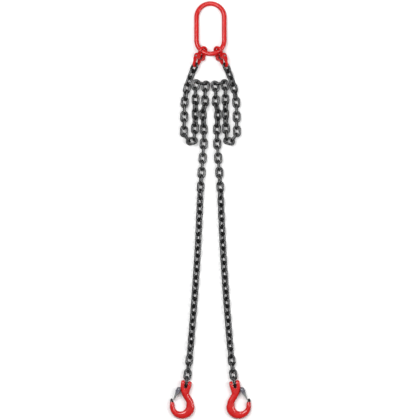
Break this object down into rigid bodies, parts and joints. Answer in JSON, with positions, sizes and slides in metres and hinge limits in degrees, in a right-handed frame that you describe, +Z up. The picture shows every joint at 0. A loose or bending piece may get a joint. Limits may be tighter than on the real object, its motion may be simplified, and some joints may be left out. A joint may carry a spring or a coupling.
{
  "type": "chain sling",
  "caption": "Lifting chain sling with paired legs: forged master link, hinged couplings, round-link chain legs folded once, and clevis sling hooks with safety latches.",
  "frame": {"origin": "on the floor under the middle of the laid-out sling", "axes": "+Y from the hooks to the master link, +X to the right leg seen from above, +Z up from the floor"},
  "size_m": [0.269, 1.3858, 0.0447],
  "materials": {
    "red_paint": "glossy red paint on a forged surface",
    "chain_steel": "black tempered scale with worn grey highlights",
    "pin_steel": "bare machined steel",
    "latch_zinc": "zinc-plated sheet steel"
  },
  "bodies": {
    "left_coupling_upper_body": {"left_coupling_upper": "red_paint", "left_coupling_pin": "pin_steel", "left_coupling_bush": "pin_steel"},
    "left_coupling_lower_body": {"left_coupling_lower": "red_paint"},
    "left_chain_01_body": {"left_chain_01": "chain_steel"},
    "left_chain_02_body": {"left_chain_02": "chain_steel"},
    "left_chain_03_body": {"left_chain_03": "chain_steel"},
    "left_chain_04_body": {"left_chain_04": "chain_steel"},
    "left_chain_05_body": {"left_chain_05": "chain_steel"},
    "left_chain_06_body": {"left_chain_06": "chain_steel"},
    "left_chain_07_body": {"left_chain_07": "chain_steel"},
    "left_chain_08_body": {"left_chain_08": "chain_steel"},
    "left_chain_09_body": {"left_chain_09": "chain_steel"},
    "left_chain_10_body": {"left_chain_10": "chain_steel"},
    "left_chain_11_body": {"left_chain_11": "chain_steel"},
    "left_chain_12_body": {"left_chain_12": "chain_steel"},
    "left_chain_13_body": {"left_chain_13": "chain_steel"},
    "left_chain_14_body": {"left_chain_14": "chain_steel"},
    "left_chain_15_body": {"left_chain_15": "chain_steel"},
    "left_chain_16_body": {"left_chain_16": "chain_steel"},
    "left_chain_17_body": {"left_chain_17": "chain_steel"},
    "left_chain_18_body": {"left_chain_18": "chain_steel"},
    "left_chain_19_body": {"left_chain_19": "chain_steel"},
    "left_hook_body": {"left_hook": "red_paint", "left_load_pin": "pin_steel", "left_retaining_pin": "pin_steel", "left_latch_pin": "pin_steel"},
    "left_latch_body": {"left_latch": "latch_zinc", "left_latch_spring": "latch_zinc"},
    "right_coupling_upper_body": {"right_coupling_upper": "red_paint", "right_coupling_pin": "pin_steel", "right_coupling_bush": "pin_steel"},
    "right_coupling_lower_body": {"right_coupling_lower": "red_paint"},
    "right_chain_01_body": {"right_chain_01": "chain_steel"},
    "right_chain_02_body": {"right_chain_02": "chain_steel"},
    "right_chain_03_body": {"right_chain_03": "chain_steel"},
    "right_chain_04_body": {"right_chain_04": "chain_steel"},
    "right_chain_05_body": {"right_chain_05": "chain_steel"},
    "right_chain_06_body": {"right_chain_06": "chain_steel"},
    "right_chain_07_body": {"right_chain_07": "chain_steel"},
    "right_chain_08_body": {"right_chain_08": "chain_steel"},
    "right_chain_09_body": {"right_chain_09": "chain_steel"},
    "right_chain_10_body": {"right_chain_10": "chain_steel"},
    "right_chain_11_body": {"right_chain_11": "chain_steel"},
    "right_chain_12_body": {"right_chain_12": "chain_steel"},
    "right_chain_13_body": {"right_chain_13": "chain_steel"},
    "right_chain_14_body": {"right_chain_14": "chain_steel"},
    "right_chain_15_body": {"right_chain_15": "chain_steel"},
    "right_chain_16_body": {"right_chain_16": "chain_steel"},
    "right_chain_17_body": {"right_chain_17": "chain_steel"},
    "right_chain_18_body": {"right_chain_18": "chain_steel"},
    "right_chain_19_body": {"right_chain_19": "chain_steel"},
    "right_hook_body": {"right_hook": "red_paint", "right_load_pin": "pin_steel", "right_retaining_pin": "pin_steel", "right_latch_pin": "pin_steel"},
    "right_latch_body": {"right_latch": "latch_zinc", "right_latch_spring": "latch_zinc"},
    "master_link_body": {"master_link": "red_paint"}
  },
  "joints": [
    {"name": "coupling_swing_left", "type": "hinge", "parent": "master_link_body", "child": "left_coupling_upper_body", "pos_m": [-0.02599, 0.52176, 0.02472], "axis": [-0.8251, 0.5619, -0.0591], "range_deg": [0, 20]},
    {"name": "coupling_pin_turn_left", "type": "hinge", "parent": "left_coupling_upper_body", "child": "left_coupling_lower_body", "pos_m": [-0.03597, 0.50343, 0.02291], "axis": [-0.5497, 0.2197, 0.806], "range_deg": [-45, 0]},
    {"name": "leg_left_01_bend", "type": "hinge", "parent": "left_coupling_lower_body", "child": "left_chain_01_body", "pos_m": [-0.04714, 0.48178, 0.0212], "axis": [0.6571, -0.4982, 0.5657], "range_deg": [-30, 0]},
    {"name": "leg_left_02_bend", "type": "hinge", "parent": "left_chain_01_body", "child": "left_chain_02_body", "pos_m": [-0.07612, 0.40796, 0.01278], "axis": [-0.5931, 0.1664, -0.7877], "range_deg": [0, 45]},
    {"name": "leg_left_03_bend", "type": "hinge", "parent": "left_chain_02_body", "child": "left_chain_03_body", "pos_m": [-0.08712, 0.33692, 0.01459], "axis": [1, 0, 0], "range_deg": [-20, 0]},
    {"name": "leg_left_04_bend", "type": "hinge", "parent": "left_chain_03_body", "child": "left_chain_04_body", "pos_m": [-0.08761, 0.2734, 0.01471], "axis": [-0.9847, 0.0168, 0.1736], "range_deg": [0, 12]},
    {"name": "leg_left_05_bend", "type": "hinge", "parent": "left_chain_04_body", "child": "left_chain_05_body", "pos_m": [-0.04625, 0.22866, 0.01452], "axis": [-0.2444, 0.9596, -0.1391], "range_deg": [0, 10]},
    {"name": "leg_left_06_bend", "type": "hinge", "parent": "left_chain_05_body", "child": "left_chain_06_body", "pos_m": [-0.0504, 0.30673, 0.01366], "axis": [1, 0, 0], "range_deg": [-5, 0]},
    {"name": "leg_left_07_bend", "type": "hinge", "parent": "left_chain_06_body", "child": "left_chain_07_body", "pos_m": [-0.04937, 0.37868, 0.01422], "axis": [-0.9268, 0.0275, -0.3744], "range_deg": [0, 30]},
    {"name": "leg_left_08_bend", "type": "hinge", "parent": "left_chain_07_body", "child": "left_chain_08_body", "pos_m": [-0.01398, 0.41334, 0.01457], "axis": [1, 0, 0], "range_deg": [-15, 0]},
    {"name": "leg_left_09_bend", "type": "hinge", "parent": "left_chain_08_body", "child": "left_chain_09_body", "pos_m": [-0.01587, 0.34182, 0.01423], "axis": [1, 0, 0], "range_deg": [-15, 0]},
    {"name": "leg_left_10_bend", "type": "hinge", "parent": "left_chain_09_body", "child": "left_chain_10_body", "pos_m": [-0.02205, 0.27133, 0.01384], "axis": [-1, 0, 0], "range_deg": [0, 4]},
    {"name": "leg_left_11_bend", "type": "hinge", "parent": "left_chain_10_body", "child": "left_chain_11_body", "pos_m": [-0.02282, 0.20786, 0.01482], "axis": [-0.0521, 0.0046, -0.9986], "range_deg": [0, 35]},
    {"name": "leg_left_12_bend", "type": "hinge", "parent": "left_chain_11_body", "child": "left_chain_12_body", "pos_m": [-0.0284, 0.13608, 0.01479], "axis": [0.9879, -0.0686, -0.1392], "range_deg": [-30, 0]},
    {"name": "leg_left_13_bend", "type": "hinge", "parent": "left_chain_12_body", "child": "left_chain_13_body", "pos_m": [-0.03433, 0.03177, 0.01323], "axis": [-0.5506, 0.0426, -0.8337], "range_deg": [0, 35]},
    {"name": "leg_left_14_bend", "type": "hinge", "parent": "left_chain_13_body", "child": "left_chain_14_body", "pos_m": [-0.03837, -0.06413, 0.01224], "axis": [0.6789, -0.0315, 0.7335], "range_deg": [-35, 0]},
    {"name": "leg_left_15_bend", "type": "hinge", "parent": "left_chain_14_body", "child": "left_chain_15_body", "pos_m": [-0.04293, -0.15151, 0.01211], "axis": [-0.7159, 0.0426, 0.6969], "range_deg": [0, 30]},
    {"name": "leg_left_16_bend", "type": "hinge", "parent": "left_chain_15_body", "child": "left_chain_16_body", "pos_m": [-0.04971, -0.25579, 0.01199], "axis": [0.7053, -0.0506, 0.7071], "range_deg": [-35, 0]},
    {"name": "leg_left_17_bend", "type": "hinge", "parent": "left_chain_16_body", "child": "left_chain_17_body", "pos_m": [-0.05689, -0.35152, 0.01199], "axis": [-0.705, 0.055, -0.7071], "range_deg": [0, 35]},
    {"name": "leg_left_18_bend", "type": "hinge", "parent": "left_chain_17_body", "child": "left_chain_18_body", "pos_m": [-0.06481, -0.44719, 0.01199], "axis": [0.7045, -0.0605, 0.7071], "range_deg": [-35, 0]},
    {"name": "leg_left_19_bend", "type": "hinge", "parent": "left_chain_18_body", "child": "left_chain_19_body", "pos_m": [-0.07208, -0.51879, 0.01387], "axis": [0.8839, -0.1134, -0.4537], "range_deg": [-45, 0]},
    {"name": "hook_swing_left", "type": "hinge", "parent": "left_chain_19_body", "child": "left_hook_body", "pos_m": [-0.08009, -0.58076, 0.01479], "axis": [-0.9816, 0.1908, 0], "range_deg": [0, 85]},
    {"name": "latch_open_left", "type": "hinge", "parent": "left_hook_body", "child": "left_latch_body", "pos_m": [-0.10451, -0.5979, 0.01396], "axis": [0.0074, 0.0382, -0.9992], "range_deg": [-38, 0], "stiffness_Nm_per_rad": 0.02, "springref_deg": 20.05},
    {"name": "coupling_swing_right", "type": "hinge", "parent": "master_link_body", "child": "right_coupling_upper_body", "pos_m": [0.02599, 0.52176, 0.02472], "axis": [-0.8251, -0.5619, 0.0591], "range_deg": [0, 20]},
    {"name": "coupling_pin_turn_right", "type": "hinge", "parent": "right_coupling_upper_body", "child": "right_coupling_lower_body", "pos_m": [0.03597, 0.50343, 0.02291], "axis": [-0.5497, -0.2197, -0.806], "range_deg": [-45, 0]},
    {"name": "leg_right_01_bend", "type": "hinge", "parent": "right_coupling_lower_body", "child": "right_chain_01_body", "pos_m": [0.04714, 0.48178, 0.0212], "axis": [0.6571, 0.4982, -0.5657], "range_deg": [-30, 0]},
    {"name": "leg_right_02_bend", "type": "hinge", "parent": "right_chain_01_body", "child": "right_chain_02_body", "pos_m": [0.07612, 0.40796, 0.01278], "axis": [-0.5931, -0.1664, 0.7877], "range_deg": [0, 45]},
    {"name": "leg_right_03_bend", "type": "hinge", "parent": "right_chain_02_body", "child": "right_chain_03_body", "pos_m": [0.08712, 0.33692, 0.01459], "axis": [1, 0, 0], "range_deg": [-20, 0]},
    {"name": "leg_right_04_bend", "type": "hinge", "parent": "right_chain_03_body", "child": "right_chain_04_body", "pos_m": [0.08761, 0.2734, 0.01471], "axis": [-0.9847, -0.0168, -0.1736], "range_deg": [0, 12]},
    {"name": "leg_right_05_bend", "type": "hinge", "parent": "right_chain_04_body", "child": "right_chain_05_body", "pos_m": [0.04625, 0.22866, 0.01452], "axis": [-0.2444, -0.9596, 0.1391], "range_deg": [0, 10]},
    {"name": "leg_right_06_bend", "type": "hinge", "parent": "right_chain_05_body", "child": "right_chain_06_body", "pos_m": [0.0504, 0.30673, 0.01366], "axis": [1, 0, 0], "range_deg": [-5, 0]},
    {"name": "leg_right_07_bend", "type": "hinge", "parent": "right_chain_06_body", "child": "right_chain_07_body", "pos_m": [0.04937, 0.37868, 0.01422], "axis": [-0.9268, -0.0275, 0.3744], "range_deg": [0, 30]},
    {"name": "leg_right_08_bend", "type": "hinge", "parent": "right_chain_07_body", "child": "right_chain_08_body", "pos_m": [0.01398, 0.41334, 0.01457], "axis": [1, 0, 0], "range_deg": [-15, 0]},
    {"name": "leg_right_09_bend", "type": "hinge", "parent": "right_chain_08_body", "child": "right_chain_09_body", "pos_m": [0.01587, 0.34182, 0.01423], "axis": [1, 0, 0], "range_deg": [-15, 0]},
    {"name": "leg_right_10_bend", "type": "hinge", "parent": "right_chain_09_body", "child": "right_chain_10_body", "pos_m": [0.02205, 0.27133, 0.01384], "axis": [-1, 0, 0], "range_deg": [0, 4]},
    {"name": "leg_right_11_bend", "type": "hinge", "parent": "right_chain_10_body", "child": "right_chain_11_body", "pos_m": [0.02282, 0.20786, 0.01482], "axis": [-0.0521, -0.0046, 0.9986], "range_deg": [0, 35]},
    {"name": "leg_right_12_bend", "type": "hinge", "parent": "right_chain_11_body", "child": "right_chain_12_body", "pos_m": [0.0284, 0.13608, 0.01479], "axis": [0.9879, 0.0686, 0.1392], "range_deg": [-30, 0]},
    {"name": "leg_right_13_bend", "type": "hinge", "parent": "right_chain_12_body", "child": "right_chain_13_body", "pos_m": [0.03433, 0.03177, 0.01323], "axis": [-0.5506, -0.0426, 0.8337], "range_deg": [0, 35]},
    {"name": "leg_right_14_bend", "type": "hinge", "parent": "right_chain_13_body", "child": "right_chain_14_body", "pos_m": [0.03837, -0.06413, 0.01224], "axis": [0.6789, 0.0315, -0.7335], "range_deg": [-35, 0]},
    {"name": "leg_right_15_bend", "type": "hinge", "parent": "right_chain_14_body", "child": "right_chain_15_body", "pos_m": [0.04293, -0.15151, 0.01211], "axis": [-0.7159, -0.0426, -0.6969], "range_deg": [0, 30]},
    {"name": "leg_right_16_bend", "type": "hinge", "parent": "right_chain_15_body", "child": "right_chain_16_body", "pos_m": [0.04971, -0.25579, 0.01199], "axis": [0.7053, 0.0506, -0.7071], "range_deg": [-35, 0]},
    {"name": "leg_right_17_bend", "type": "hinge", "parent": "right_chain_16_body", "child": "right_chain_17_body", "pos_m": [0.05689, -0.35152, 0.01199], "axis": [-0.705, -0.055, 0.7071], "range_deg": [0, 35]},
    {"name": "leg_right_18_bend", "type": "hinge", "parent": "right_chain_17_body", "child": "right_chain_18_body", "pos_m": [0.06481, -0.44719, 0.01199], "axis": [0.7045, 0.0605, -0.7071], "range_deg": [-35, 0]},
    {"name": "leg_right_19_bend", "type": "hinge", "parent": "right_chain_18_body", "child": "right_chain_19_body", "pos_m": [0.07208, -0.51879, 0.01387], "axis": [0.8839, 0.1134, 0.4537], "range_deg": [-45, 0]},
    {"name": "hook_swing_right", "type": "hinge", "parent": "right_chain_19_body", "child": "right_hook_body", "pos_m": [0.08009, -0.58076, 0.01479], "axis": [-0.9816, -0.1908, 0], "range_deg": [0, 85]},
    {"name": "latch_open_right", "type": "hinge", "parent": "right_hook_body", "child": "right_latch_body", "pos_m": [0.10451, -0.5979, 0.01396], "axis": [0.0074, -0.0382, 0.9992], "range_deg": [-38, 0], "stiffness_Nm_per_rad": 0.02, "springref_deg": 20.05}
  ]
}
